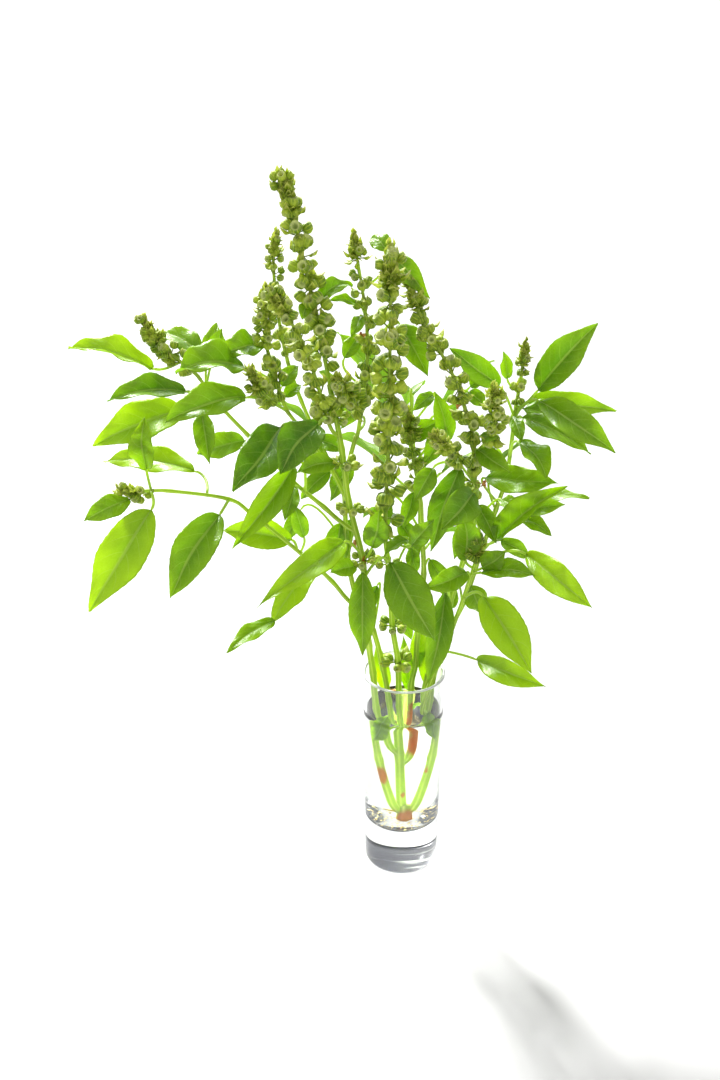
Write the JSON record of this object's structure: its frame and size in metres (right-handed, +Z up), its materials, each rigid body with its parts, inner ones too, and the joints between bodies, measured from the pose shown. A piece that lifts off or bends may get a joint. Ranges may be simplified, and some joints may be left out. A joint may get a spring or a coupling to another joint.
{
  "type": "lime basil in a glass of water",
  "caption": "Cut flowering lime basil with leaves and seeding spikes, standing in a slim clear drinking glass of water with a thick base.",
  "frame": {"origin": "centre of the glass's flat base, on the surface it stands on", "axes": "+Z up along the glass's axis; -Y toward the front of the plant"},
  "size_m": [0.2385, 0.1612, 0.3481],
  "materials": {
    "glass": "clear polished glass",
    "water": "clear still water",
    "stem": "matte, ribbed and finely hairy",
    "spike": "matte, veined and hairy",
    "leaf": "semi-gloss upper face, duller underside"
  },
  "bodies": {
    "root": {"glass": "glass", "water": "water", "crown": "stem", "stem_tall": "stem", "stem_left": "stem", "stem_middle": "stem", "stem_back": "stem", "stem_right": "stem", "stem_low_right": "stem", "stem_outer_right": "stem", "branch_far_left": "stem", "branch_upper_left": "stem", "branch_third": "stem", "branch_rear_left": "stem", "branch_rear": "stem", "spike_tall": "spike", "spike_left": "spike", "spike_rear_left": "spike", "spike_front_left": "spike", "spike_upper_left": "spike", "spike_centre_left": "spike", "spike_dark": "spike", "spike_centre": "spike", "spike_centre_right": "spike", "spike_right": "spike", "spike_outer_right": "spike", "spike_inner_right": "spike", "leaf_01": "leaf", "leaf_02": "leaf", "leaf_03": "leaf", "leaf_04": "leaf", "leaf_05": "leaf", "leaf_06": "leaf", "leaf_07": "leaf", "leaf_08": "leaf", "leaf_09": "leaf", "leaf_10": "leaf", "leaf_11": "leaf", "leaf_12": "leaf", "leaf_13": "leaf", "leaf_14": "leaf", "leaf_15": "leaf", "leaf_16": "leaf", "leaf_17": "leaf", "leaf_18": "leaf", "leaf_19": "leaf", "leaf_20": "leaf", "leaf_21": "leaf", "leaf_22": "leaf", "leaf_23": "leaf", "leaf_24": "leaf", "leaf_25": "leaf", "leaf_26": "leaf", "leaf_27": "leaf", "leaf_28": "leaf", "leaf_29": "leaf", "leaf_30": "leaf", "leaf_31": "leaf", "leaf_32": "leaf", "leaf_33": "leaf"}
  },
  "joints": []
}
